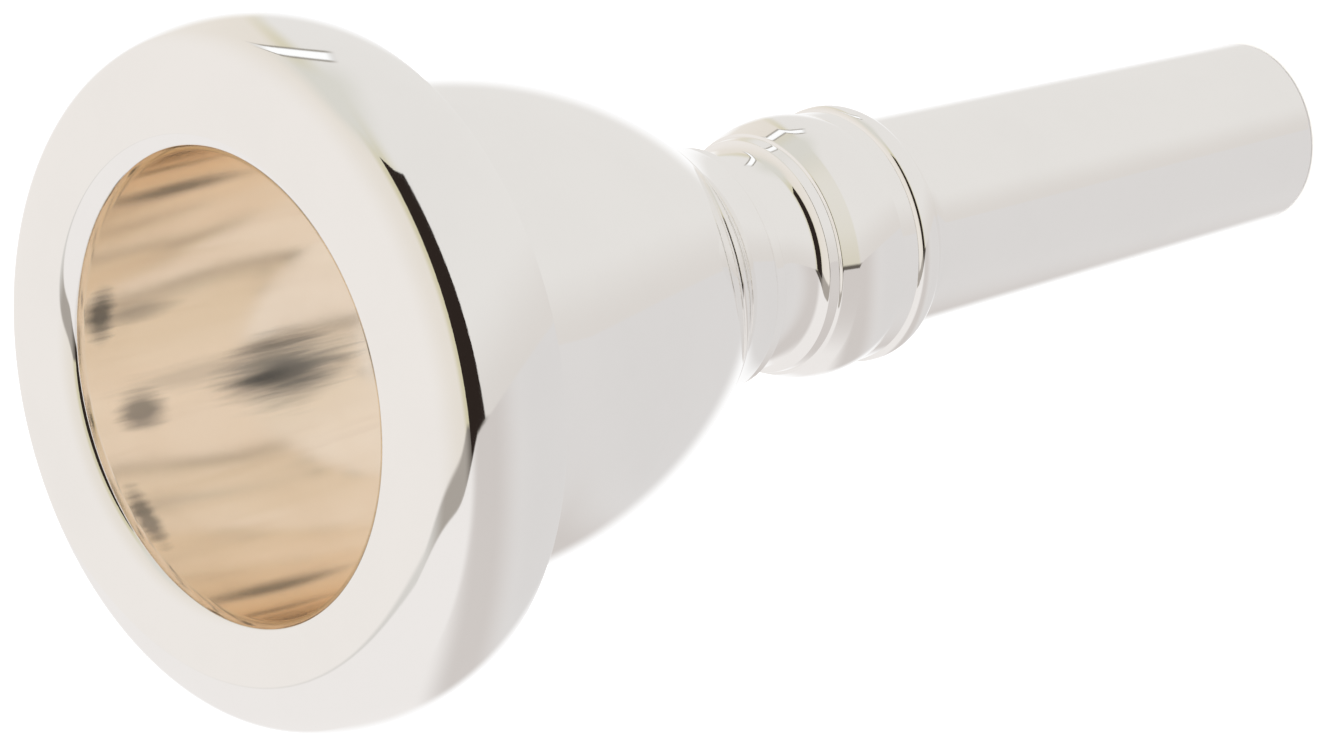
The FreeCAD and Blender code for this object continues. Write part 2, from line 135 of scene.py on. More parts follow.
class Outline:
    """Points along a chain of lines and arcs in the plane of radius and height."""

    def __init__(self, radius, height):
        self.points = [(radius, height)]

    def line(self, radius, height):
        """A line to a new corner, with a point close to each end to keep its shading straight."""
        start, end = Vector(self.points[-1]), Vector((radius, height))
        length = (end - start).length
        stops = [length]
        if length > GUARDED_LENGTH:
            steps = max(1, round(length / LINE_STEP))
            stops = [GUARD] + [length * n / steps for n in range(1, steps)] + [length - GUARD, length]
        self.points += [tuple(start.lerp(end, stop / length)) for stop in stops]
        return self

    def arc(self, radius, height, bend, turn):
        """The minor arc of radius bend to a new corner, turning the given way."""
        start, end = Vector(self.points[-1]), Vector((radius, height))
        chord = end - start
        rise = math.sqrt(max(bend ** 2 - (chord.length / 2) ** 2, 0))
        normal = Vector((-chord.y, chord.x)).normalized()
        centre = (start + end) / 2 + normal * rise * turn
        first = math.atan2(start.y - centre.y, start.x - centre.x)
        last = math.atan2(end.y - centre.y, end.x - centre.x)
        sweep = (last - first) * turn % (2 * math.pi) * turn
        steps = math.ceil(abs(sweep) * max(bend / ARC_STEP, 1 / ARC_STEP_ANGLE))
        for n in range(1, steps + 1):
            angle = first + sweep * n / steps
            self.points.append((centre.x + bend * math.cos(angle), centre.y + bend * math.sin(angle)))
        return self


def meeting(first, first_distance, second, second_distance, turn):
    """The point at these distances from two centres, on the given side of the line between them."""
    first, second = Vector(first), Vector(second)
    between = second - first
    along = (first_distance ** 2 - second_distance ** 2 + between.length_squared) / (2 * between.length)
    aside = math.sqrt(first_distance ** 2 - along ** 2) * turn
    unit = between.normalized()
    return first + unit * along + Vector((-unit.y, unit.x)) * aside


def touch(centre, toward, distance):
    """The point at a distance from a centre, in the direction of another centre."""
    centre, toward = Vector(centre), Vector(toward)
    return tuple(centre + (toward - centre).normalized() * distance)


def rim_outline():
    """From the bite over the face and the side to the end of the skirt."""
    bite_centre = (BITE_RADIUS + BITE_ROUND, BITE_HEIGHT)
    side_centre = (RIM_RADIUS - SIDE_ROUND, RIM_WIDEST_HEIGHT)
    face_height = CROWN_HEIGHT - FACE_ROUND
    face_aside = math.sqrt((FACE_ROUND - BITE_ROUND) ** 2 - (face_height - BITE_HEIGHT) ** 2)
    face_centre = (bite_centre[0] + face_aside, face_height)
    edge_centre = meeting(face_centre, FACE_ROUND - EDGE_ROUND, side_centre, SIDE_ROUND - EDGE_ROUND,
                          CLOCKWISE)
    back_aside = math.sqrt(SIDE_ROUND ** 2 - (RIM_BACK_HEIGHT - RIM_WIDEST_HEIGHT) ** 2)
    return (Outline(BITE_RADIUS, BITE_HEIGHT)
            .arc(*touch(face_centre, bite_centre, FACE_ROUND), BITE_ROUND, CLOCKWISE)
            .arc(*touch(face_centre, edge_centre, FACE_ROUND), FACE_ROUND, CLOCKWISE)
            .arc(*touch(side_centre, edge_centre, SIDE_ROUND), EDGE_ROUND, CLOCKWISE)
            .arc(side_centre[0] + back_aside, RIM_BACK_HEIGHT, SIDE_ROUND, CLOCKWISE)
            .line(SKIRT_END_RADIUS, SKIRT_END_HEIGHT))


def lining_outline():
    """From the bite down the wall and the bowl to the top of the throat."""
    wall_centre = (BITE_RADIUS - CUP_WALL_ROUND, BITE_HEIGHT - BITE_LAND)
    throat_centre = (THROAT_RADIUS + THROAT_ENTRY_ROUND, THROAT_HEIGHT)
    bowl_centre = meeting(wall_centre, CUP_WALL_ROUND - BOWL_ROUND, throat_centre,
                          BOWL_ROUND + THROAT_ENTRY_ROUND, ANTICLOCKWISE)
    return (Outline(BITE_RADIUS, BITE_HEIGHT)
            .line(BITE_RADIUS, BITE_HEIGHT - BITE_LAND)
            .arc(*touch(wall_centre, bowl_centre, CUP_WALL_ROUND), CUP_WALL_ROUND, CLOCKWISE)
            .arc(*touch(bowl_centre, throat_centre, BOWL_ROUND), BOWL_ROUND, CLOCKWISE)
            .arc(THROAT_RADIUS, THROAT_HEIGHT, THROAT_ENTRY_ROUND, ANTICLOCKWISE))


def cup_outline():
    """From the seam up over the wide bead, the neck, its fine ring and the bell to the ledge."""
    cove_top = LEDGE_HEIGHT - PLATING
    return (Outline(SEAM_RADIUS, SEAM_HEIGHT)
            .line(*FOOT)
            .line(*BEAD_END)
            .arc(*BEAD_TOP, BEAD_ROUND, ANTICLOCKWISE)
            .line(*BEAD_EDGE)
            .line(*BEAD_LAND)
            .line(*BEAD_LIP)
            .arc(*BEAD_COVE_TOP, BEAD_COVE_ROUND, CLOCKWISE)
            .arc(NECK_RADIUS, NECK_END_HEIGHT, NECK_ROUND, CLOCKWISE)
            .line(NECK_RADIUS, RING_END_HEIGHT)
            .line(RING_RADIUS, RING_END_HEIGHT)
            .line(RING_RADIUS, RING_TOP_HEIGHT)
            .line(*NECK_COVE_END)
            .arc(*COVE_LIP, NECK_COVE_ROUND, CLOCKWISE)
            .line(*LINE_GROOVE)
            .line(*BELL_END)
            .arc(CUP_RADIUS, CUP_WIDEST_HEIGHT, BELL_ROUND, ANTICLOCKWISE)
            .line(CUP_RADIUS, cove_top - COVE_ROUND)
            .arc(SKIRT_END_RADIUS, cove_top, COVE_ROUND, CLOCKWISE)
            .line(SKIRT_END_RADIUS, LEDGE_HEIGHT))


def shank_outline():
    """From the seam down over the thin bead and the taper, round the end and up the backbore."""
    return (Outline(SEAM_RADIUS, SEAM_HEIGHT)
            .line(*THIN_BEAD_EDGE)
            .arc(*THIN_BEAD_TOP, THIN_BEAD_SHOULDER_ROUND, CLOCKWISE)
            .arc(*THIN_BEAD_END, THIN_BEAD_ROUND, CLOCKWISE)
            .arc(*SHANK_TOP, SHANK_COVE_ROUND, ANTICLOCKWISE)
            .line(SHANK_END_RADIUS, SHANK_END_ROUND)
            .arc(SHANK_END_RADIUS - SHANK_END_ROUND, 0, SHANK_END_ROUND, CLOCKWISE)
            .line(BACKBORE_END_RADIUS + BACKBORE_MOUTH_CHAMFER, 0)
            .line(BACKBORE_END_RADIUS, BACKBORE_MOUTH_CHAMFER)
            .line(THROAT_RADIUS, BACKBORE_TOP_HEIGHT))


def eased(points):
    """The outline with each sharp corner rounded a little, as polishing leaves it."""
    points = [Vector(point) for point in points]
    result = [points[0]]
    for before, corner, after in zip(points, points[1:], points[2:]):
        back, ahead = before - corner, after - corner
        if back.angle(-ahead) < CORNER_ANGLE:
            result.append(corner)
            continue
        start = corner + back.normalized() * min(CORNER_REACH, back.length / 2)
        end = corner + ahead.normalized() * min(CORNER_REACH, ahead.length / 2)
        for n in range(CORNER_POINTS + 1):
            share = n / CORNER_POINTS
            result.append(start.lerp(corner, share).lerp(corner.lerp(end, share), share))
    result.append(points[-1])
    return result


def inside(points, side):
    """The outline moved by the plating's thickness to one side, with mitred corners."""
    points = [Vector(point) for point in points]
    directions = [(after - before).normalized() for before, after in zip(points, points[1:])]
    normals = [Vector((-way.y, way.x)) * side for way in directions]
    result = [points[0] + normals[0] * PLATING]
    for point, first, second in zip(points[1:-1], normals, normals[1:]):
        middle = (first + second).normalized()
        result.append(point + middle * PLATING / middle.dot(first))
    result.append(points[-1] + normals[-1] * PLATING)
    return result


def turned_skin(name, outline, side):
    """A closed skin: the eased outline and its inside, turned round the bore's axis."""
    section = eased(outline.points) + inside(outline.points, side)[::-1]
    if side == CLOCKWISE:
        section.reverse()
    angles = np.arange(SEGMENTS) * (2 * math.pi / SEGMENTS)
    radii = np.array([point.x for point in section])
    heights = np.array([point.y for point in section])
    places = np.stack([np.outer(np.cos(angles), radii), np.outer(np.sin(angles), radii),
                       np.broadcast_to(heights, (SEGMENTS, len(section)))], axis=-1) * MM
    count = len(section)
    here = np.arange(SEGMENTS)[:, None] * count
    onward = (np.arange(SEGMENTS)[:, None] + 1) % SEGMENTS * count
    first = np.arange(count)[None, :]
    second = (first + 1) % count
    faces = np.stack([here + first, here + second, onward + second, onward + first], axis=-1)
    mesh = bpy.data.meshes.new(name)
    mesh.from_pydata(places.reshape(-1, 3).tolist(), [], faces.reshape(-1, 4).tolist())
    mesh.shade_smooth()
    mesh.set_sharp_from_angle(angle=SHARP_ANGLE)
    mesh.validate()
    piece = bpy.data.objects.new(name, mesh)
    bpy.context.scene.collection.objects.link(piece)
    return piece


# ---------------------------------------------------------------- shader nodes


class Signal:
    """A number made by shader nodes, which can be worked with like a plain number."""

    def __init__(self, tree, socket):
        self.tree = tree
        self.socket = socket

    def calculate(self, operation, *inputs):
        """The result of a Math node on these inputs."""
        node = add(self.tree, "ShaderNodeMath", dict(enumerate(inputs)), operation=operation)
        return Signal(self.tree, node.outputs[0])

    def __add__(self, other):
        return self.calculate("ADD", self, other)

    def __sub__(self, other):
        return self.calculate("SUBTRACT", self, other)

    def __rsub__(self, other):
        return self.calculate("SUBTRACT", other, self)

    def __mul__(self, other):
        return self.calculate("MULTIPLY", self, other)

    def __truediv__(self, other):
        return self.calculate("DIVIDE", self, other)

    def above(self, floor):
        """The larger of this and a number."""
        return self.calculate("MAXIMUM", self, floor)

    def root(self):
        """The square root of this."""
        return self.calculate("SQRT", self)

    def size(self):
        """This without its sign."""
        return self.calculate("ABSOLUTE", self)

    def ramp(self, start, end, low=0.0, high=1.0):
        """A smooth step from low at start to high at end."""
        node = add(self.tree, "ShaderNodeMapRange",
                   {"Value": self, "From Min": start, "From Max": end, "To Min": low, "To Max": high},
                   interpolation_type="SMOOTHSTEP")
        return Signal(self.tree, node.outputs["Result"])


def add(tree, kind, inputs=None, **settings):
    """A new node with these settings, whose inputs are sockets, signals or plain values."""
    node = tree.nodes.new(kind)
    for name, value in settings.items():
        setattr(node, name, value)
    for name, value in (inputs or {}).items():
        socket = value.socket if isinstance(value, Signal) else value
        if isinstance(socket, bpy.types.NodeSocket):
            tree.links.new(socket, node.inputs[name])
        else:
            node.inputs[name].default_value = socket
    return node


def mixed(tree, first, second, share):
    """A colour that goes from the first to the second with share."""
    node = add(tree, "ShaderNodeMix", {"Factor": share}, data_type="RGBA")
    colours = [socket for socket in node.inputs if socket.type == "RGBA"]
    for socket, colour in zip(colours, (first, second)):
        if isinstance(colour, bpy.types.NodeSocket):
            tree.links.new(colour, socket)
        else:
            socket.default_value = colour
    return [socket for socket in node.outputs if socket.type == "RGBA"][0]


def linear(*display):
    """A linear colour from display values of 0 to 255, by the sRGB curve."""
    shares = [value / 255 for value in display]
    return [share / 12.92 if share <= 0.04045 else ((share + 0.055) / 1.055) ** 2.4
            for share in shares] + [1.0]


# ---------------------------------------------------------------- materials

SILVER = (0.965, 0.957, 0.945, 1.0)
SILVER_WORN = (0.950, 0.942, 0.930, 1.0)
SILVER_HAZE = (0.025, 0.05)
SILVER_WAVE = 0.004
# The gold is far paler than gold plate is: light meets the bowl's wall many times before it
# leaves, and deepens each time, and this is the colour that adds up to a light tan.
GOLD = (0.985, 0.942, 0.885, 1.0)
GOLD_WORN = (0.975, 0.915, 0.840, 1.0)
GOLD_HAZE = (0.10, 0.08)
GOLD_WAVE = 0.020
# The tan of the painted reflections streaked down the lining.
GOLD_PAINTED_STREAK = (0.950, 0.890, 0.822, 1.0)
# The dark colour of the painted reflections drawn into the lining.
GOLD_PAINTED_REFLECTION = (0.080, 0.100, 0.125, 1.0)
# The painted reflected streaks' grain: per degree round the bore, and per mm along it.
PAINTED_STREAK_TURN = 0.16
PAINTED_STREAK_RISE = 0.035
PAINTED_STREAK_EDGE = (0.50, 0.72)
# Soft dark painted reflections drawn in the lining's colour, standing for a room's darker things
# mirrored in the bowl: the angle round the bore in degrees, the height, the half-width in degrees,
# the half-length and the strength. They stay on the lining in any light.
LINING_PAINTED_REFLECTIONS = [
    (88.0, 81.2, 11.0, 6.4, 0.80),
    (83.5, 87.5, 4.5, 9.5, 0.22),
    (89.5, 93.4, 6.0, 2.6, 0.68),
    (63.5, 95.9, 9.0, 1.5, 0.75),
    (65.0, 92.6, 3.2, 4.0, 0.35),
    (116.0, 96.4, 11.0, 1.2, 0.65),
]
# How ragged and how soft the edges of the painted reflections are.
PAINTED_REFLECTION_UNEVENNESS = 0.9
PAINTED_REFLECTION_EDGE = (1.5, 0.65)
# Where smudges, specks, tarnish and dust begin and where they are full, as shares of their noise.
SMUDGE_HAZE = (0.45, 0.75)
SMUDGE_TINT = (0.35, 0.8)
SPECK_HAZE = (0.6, 0.8)
SMUDGE_SHARE = 0.6
SPECK_SHARE = 0.4
TARNISH_EDGE = (0.45, 0.8)
DUST_EDGE = (0.5, 0.8)
# Noises: the grains per mm, or per unit of a lathe's or the lining's place, the detail and the
# roughness.
SMUDGE = (0.12, 4.0, 0.6)
SPECK = (1.7, 6.0, 0.7)
BUFFING = (9.0, 4.0, 0.7)
WAVE = (0.09, 1.0, 0.5)
# The next two are for the lining's painted reflections: its streaks, and the ragged edges of its dark
# patches.
PAINTED_STREAKS = (1.0, 4.0, 0.62)
UNEVENNESS = (3.0, 3.0, 0.5)
FEED_LINES = (14.0, 3.0, 0.6)
TARNISH = (0.35, 5.0, 0.6)
RUBBER_GRAIN = (8.0, 5.0, 0.6)
DUST = (0.5, 3.0, 0.5)
# Depths of bumps, in mm.
BUFFING_DEPTH = 0.0004
FEED_LINE_DEPTH = 0.006
RUBBER_GRAIN_DEPTH = 0.01
# How far a lathe's marks are drawn out round the axis: the smaller, the longer.
BUFFING_TURN = 3.0
FEED_LINE_TURN = 0.6
BRASS = (0.80, 0.58, 0.28, 1.0)
BRASS_WORN = (0.62, 0.43, 0.21, 1.0)
BRASS_ROUGHNESS = 0.14
BRASS_LINE_ROUGHNESS = 0.12
BRASS_TARNISH_ROUGHNESS = 0.15
RUBBER = (0.018, 0.018, 0.019, 1.0)
RUBBER_WORN = (0.05, 0.05, 0.05, 1.0)
RUBBER_ROUGHNESS = 0.45
RUBBER_GRAIN_ROUGHNESS = 0.2


def new_material(name, colour):
    """A material with its node tree and Principled shader; colour is also the viewport's."""
    material = bpy.data.materials.new(name)
    material.use_nodes = True
    material.diffuse_color = colour
    tree = material.node_tree
    shader = [node for node in tree.nodes if node.type == "BSDF_PRINCIPLED"][0]
    shader.inputs["Base Color"].default_value = colour
    return material, tree, shader


def place_mm(tree):
    """Signals for a point's x, y and z in mm."""
    coordinates = add(tree, "ShaderNodeTexCoord")
    parts = add(tree, "ShaderNodeSeparateXYZ", {"Vector": coordinates.outputs["Object"]})
    return [Signal(tree, output) / MM for output in parts.outputs]


def vector_of(tree, x, y, z=0.0):
    """A vector socket from three signals or numbers."""
    return add(tree, "ShaderNodeCombineXYZ", {"X": x, "Y": y, "Z": z}).outputs["Vector"]


def lathe_place(tree, along_turn):
    """A vector of radius, height and angle, in which a noise stretches round the bore's axis."""
    across, deep, height = place_mm(tree)
    radius = (across * across + deep * deep).root()
    angle = deep.calculate("ARCTAN2", deep, across) * along_turn
    return vector_of(tree, radius, height, angle)


def noise(tree, vector, scale, detail, roughness):
    """A noise of about 1 / scale mm grain, from 0 to 1."""
    node = add(tree, "ShaderNodeTexNoise",
               {"Vector": vector, "Scale": scale, "Detail": detail, "Roughness": roughness})
    return Signal(tree, node.outputs[0])


def bumped(tree, shader, heights):
    """Give the shader a bump from pairs of a height signal and its depth in mm."""
    normal = None
    for height, depth in heights:
        bump = add(tree, "ShaderNodeBump", {"Height": height, "Distance": depth * MM, "Strength": 1.0})
        if normal is not None:
            tree.links.new(normal, bump.inputs["Normal"])
        normal = bump.outputs["Normal"]
    tree.links.new(normal, shader.inputs["Normal"])


def lining_painted_reflections(tree, colour):
    """The colour with painted reflections: long pale and tan streaks down the bowl, and a few soft dark
    patches.
    """
    across, deep, height = place_mm(tree)
    angle = deep.calculate("ARCTAN2", deep, across) * math.degrees(1)
    long_place = vector_of(tree, angle * PAINTED_STREAK_TURN, height * PAINTED_STREAK_RISE)
    streaks = noise(tree, long_place, *PAINTED_STREAKS)
    # Painted reflections: tan streaks drawn down the bowl.
    colour = mixed(tree, colour, GOLD_PAINTED_STREAK, streaks.ramp(*PAINTED_STREAK_EDGE))
    uneven = noise(tree, long_place, *UNEVENNESS) * PAINTED_REFLECTION_UNEVENNESS
    # Painted reflections: soft dark patches at set places on the lining.
    for reflection_angle, reflection_height, half_width, half_length, strength in LINING_PAINTED_REFLECTIONS:
        aside = (angle - reflection_angle) / half_width
        along = (height - reflection_height) / half_length
        distance = (aside * aside + along * along).root() + uneven
        colour = mixed(tree, colour, GOLD_PAINTED_REFLECTION, distance.ramp(*PAINTED_REFLECTION_EDGE) * strength)
    return colour


def plated(name, colour, worn_colour, haze, wave_depth, painted_reflections=None):
    """Polished plate: a slow waviness, fine buffing lines and a haze that comes and goes."""
    material, tree, shader = new_material(name, colour)
    place = vector_of(tree, *place_mm(tree))
    smudge = noise(tree, place, *SMUDGE)
    speck = noise(tree, place, *SPECK)
    buffing = noise(tree, lathe_place(tree, BUFFING_TURN), *BUFFING)
    wave = noise(tree, place, *WAVE)
    shader.inputs["Metallic"].default_value = 1.0
    least, spread = haze
    hazy = smudge.ramp(*SMUDGE_HAZE) * SMUDGE_SHARE + speck.ramp(*SPECK_HAZE) * SPECK_SHARE
    tree.links.new((hazy * spread + least).socket, shader.inputs["Roughness"])
    plate = mixed(tree, colour, worn_colour, smudge.ramp(*SMUDGE_TINT))
    # For the gold lining: painted reflections drawn into the plate's colour.
    if painted_reflections:
        plate = painted_reflections(tree, plate)
    tree.links.new(plate, shader.inputs["Base Color"])
    bumped(tree, shader, [(wave, wave_depth), (buffing, BUFFING_DEPTH)])
    return material


def machined_brass():
    """Bare brass with the lathe's fine feed lines and a little brown tarnish."""
    material, tree, shader = new_material("machined_brass", BRASS)
    lines = noise(tree, lathe_place(tree, FEED_LINE_TURN), *FEED_LINES)
    tarnish = noise(tree, vector_of(tree, *place_mm(tree)), *TARNISH)
    shader.inputs["Metallic"].default_value = 1.0
    tint = mixed(tree, BRASS, BRASS_WORN, tarnish.ramp(*TARNISH_EDGE))
    tree.links.new(tint, shader.inputs["Base Color"])
    roughness = lines * BRASS_LINE_ROUGHNESS + tarnish * BRASS_TARNISH_ROUGHNESS + BRASS_ROUGHNESS
    tree.links.new(roughness.socket, shader.inputs["Roughness"])
    bumped(tree, shader, [(lines, FEED_LINE_DEPTH)])
    return material


def ring_rubber():
    """Matte black nitrile with a faint grain and dusty patches."""
    material, tree, shader = new_material("ring_rubber", RUBBER)
    place = vector_of(tree, *place_mm(tree))
    grain = noise(tree, place, *RUBBER_GRAIN)
    dust = noise(tree, place, *DUST)
    tint = mixed(tree, RUBBER, RUBBER_WORN, dust.ramp(*DUST_EDGE))
    tree.links.new(tint, shader.inputs["Base Color"])
    roughness = grain * RUBBER_GRAIN_ROUGHNESS + RUBBER_ROUGHNESS
    tree.links.new(roughness.socket, shader.inputs["Roughness"])
    bumped(tree, shader, [(grain, RUBBER_GRAIN_DEPTH)])
    return material


# ---------------------------------------------------------------- pieces


def dress(piece, body, node, material):
    """Put a turned skin in the place of its CAD node."""
    piece.data.materials.append(material)
    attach(piece, body)
    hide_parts(node)


def repaint(node, material):
    """Give a CAD node that stays in view a procedural material."""
    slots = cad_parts[node].material_slots
    if not slots:
        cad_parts[node].data.materials.append(material)
    for slot in slots:
        slot.material = material


def make_pieces():
    """The four plated skins, and the materials of the turned cores and rubber rings."""
    silver = plated("silver_plate", SILVER, SILVER_WORN, SILVER_HAZE, SILVER_WAVE)
    # The gold's colour carries painted reflections of a room's darker things.
    gold = plated("gold_plate", GOLD, GOLD_WORN, GOLD_HAZE, GOLD_WAVE, lining_painted_reflections)
    dress(turned_skin("rim_silver_skin", rim_outline(), CLOCKWISE),
          "rim", "rim_silver_plating", silver)
    dress(turned_skin("cup_silver_skin", cup_outline(), ANTICLOCKWISE),
          "cup", "cup_silver_plating", silver)
    dress(turned_skin("cup_gold_skin", lining_outline(), ANTICLOCKWISE),
          "cup", "cup_gold_plating", gold)
    dress(turned_skin("shank_silver_skin", shank_outline(), CLOCKWISE),
          "shank", "shank_silver_plating", silver)
    brass = machined_brass()
    for node in ("rim_core", "cup_core", "shank_core"):
        repaint(node, brass)
    rubber = ring_rubber()
    for node in ("rim_o_ring", "shank_o_ring"):
        repaint(node, rubber)


# ---------------------------------------------------------------- camera

CAMERA_AIM = Vector((-6.36, -17.88, 76.2)) * MM
CAMERA_DISTANCE = 529.8 * MM
CAMERA_ELEVATION = math.radians(40.35)
CAMERA_ROLL = math.radians(-104.66)
CAMERA_LENS = 217.5


def camera_turn():
    """The camera's rotation: tilted down at the part from the -Y side, then rolled."""
    tilt = Matrix.Rotation(math.pi / 2 - CAMERA_ELEVATION, 4, "X")
    return tilt @ Matrix.Rotation(CAMERA_ROLL, 4, "Z")


def make_camera():
    """A long lens above the -Y side, rolled so that the rim is on the left and the shank on the right."""
    data = bpy.data.cameras.new("camera")
    data.lens = CAMERA_LENS
    data.clip_start = 0.01
    camera = bpy.data.objects.new("camera", data)
    bpy.context.scene.collection.objects.link(camera)
    turn = camera_turn()
    place = CAMERA_AIM + turn.col[2].xyz * CAMERA_DISTANCE
    camera.matrix_world = Matrix.Translation(place) @ turn
    bpy.context.scene.camera = camera


# ---------------------------------------------------------------- studio

# The studio is drawn in the half-angle plane: for light from a direction, the unit vector midway
# between that direction and the camera's, as (across, up) on the camera's own axes. A polished
# surface whose normal points along that vector shows the light from there.


def tone(red, green, blue):
    """The light that polished silver shows as this display colour."""
    light = linear(red, green, blue)
    return [value / reflected for value, reflected in zip(light, SILVER)]


FIELD = tone(236, 231, 226)
FIELD_NEAR_CARD = tone(228, 221, 211)
CARD_MARGIN = tone(208, 201, 171)
BLACK_CARD = tone(44, 36, 32)
RIGHT_FIELD = tone(228, 225, 221)
RIGHT_FIELD_LOW = tone(218, 213, 208)
TABLE = tone(236, 232, 229)
TABLE_RIGHT = tone(217, 214, 212)
TABLE_UNDER_CARD = tone(206, 200, 196)
WEDGE = tone(168, 161, 153)
WEDGE_DARK = tone(84, 78, 71)
WEDGE_FAINT = tone(212, 209, 204)
SMEAR = tone(215, 213, 205)
LAMP_STRIP = tone(255, 255, 255)
LAMP_FRAME = tone(150, 144, 134)
BACKDROP = tone(253, 252, 251)
WHITE = (1.0, 1.0, 1.0, 1.0)

# The table's far edge: its level, the bow of all of it, and the rise of its right part past a bend.
HORIZON_LEVEL = -0.41
HORIZON_BOW = 0.08
HORIZON_RISE = 0.68
HORIZON_BEND = 0.1

# The card's sides: the place across at level 0, then its change with up and with up squared.
CARD_LEFT = (0.193, -0.27, -0.06)
CARD_RIGHT = (0.408, -0.25, -0.33)

# The lamp's strip: its level in the middle, and how much that changes with across.
LAMP_STRIP_LEVEL = 0.84
LAMP_STRIP_SLOPE = 0.14

# The shadowed strip on the table's edge, which is thickest at its peak, and the places across where
# it and the card's shadow on the table are darkest.
WEDGE_PEAK = 0.2
WEDGE_THICKNESS = 0.13
WEDGE_LEFT_SLOPE = 0.14
WEDGE_RIGHT_SLOPE = 0.5
WEDGE_CORE = 0.34
CARD_SHADOW_CORE = 0.45

# Where each change of tone starts and ends, along the signal that it is used with.
NEAR_CARD = (-0.7, -0.1)
CARD_MARGIN_EDGE = (-0.12, -0.01)
PAST_CARD = (-0.1, 0.02)
RIGHT_FIELD_FOOT = (0.0, 0.35)
SMEAR_LEFT = (-0.3, -0.05)
SMEAR_RIGHT = (0.2, 0.02)
SMEAR_FOOT = (0.42, 0.60)
SMEAR_TOP = (0.86, 0.74)
STRIP_LEFT = (-0.30, -0.18)
STRIP_RIGHT = (0.10, 0.04)
STRIP_FRAME_EDGE = (0.024, 0.017)
STRIP_EDGE = (0.017, 0.010)
WEDGE_CORE_EDGE = (0.22, 0.02)
WEDGE_FADE = (-0.2, -0.5)
WEDGE_EDGE = (0.012, -0.012)
TABLE_TURN = (0.2, 0.75)
CARD_SHADOW_EDGE = (0.22, 0.04)
TABLE_EDGE = (0.006, -0.006)
BACKDROP_EDGE = (0.965, 1.0)
# Keeps the half-angle of light from straight behind the part away from a division by zero.
SMALLEST = 1e-4

# The black card's distance and the point that it is laid out for, its top edge, and its mesh.
CARD_DISTANCE = 280 * MM
CARD_SEEN_FROM = Vector((0, -23.5, 93)) * MM
CARD_TOP = 0.51
CARD_STEPS = 24
CARD_FOOT_GUESS = -0.25
CARD_FOOT_ROUNDS = 8

# The floor and the lamp, in metres and watts.
FLOOR_HALF = 3.0
FLOOR_COLOUR = (0.95, 0.95, 0.95, 1.0)
FLOOR_ROUGHNESS = 0.9
LAMP_HEIGHT = 0.9
LAMP_SIZE = 1.2
LAMP_POWER = 13.0

# How often light may be mirrored; deep in the bowl it is, many times.
MIRROR_BOUNCES = 24


def half_angle_plane(tree):
    """Signals for the world's point in the half-angle plane."""
    ray = add(tree, "ShaderNodeTexCoord").outputs["Generated"]
    turn = camera_turn()
    parts = []
    for axis in range(3):
        dot = add(tree, "ShaderNodeVectorMath", {0: ray, 1: turn.col[axis].xyz}, operation="DOT_PRODUCT")
        parts.append(Signal(tree, dot.outputs["Value"]))
    across, up, toward = parts
    length = (toward * 2 + 2).above(SMALLEST).root()
    return across / length, up / length


def horizon(across, root):
    """The height of the table's far edge: level on the left, rising on the right."""
    past = across - HORIZON_BEND
    soft = (past + root(past * past + HORIZON_BEND ** 2)) * (HORIZON_RISE / 2)
    return soft + across * across * HORIZON_BOW + HORIZON_LEVEL


def card_sides(up):
    """The places across of the leaning card's left and right edges at a height."""
    return [up * slope + up * up * bow + start for start, slope, bow in (CARD_LEFT, CARD_RIGHT)]


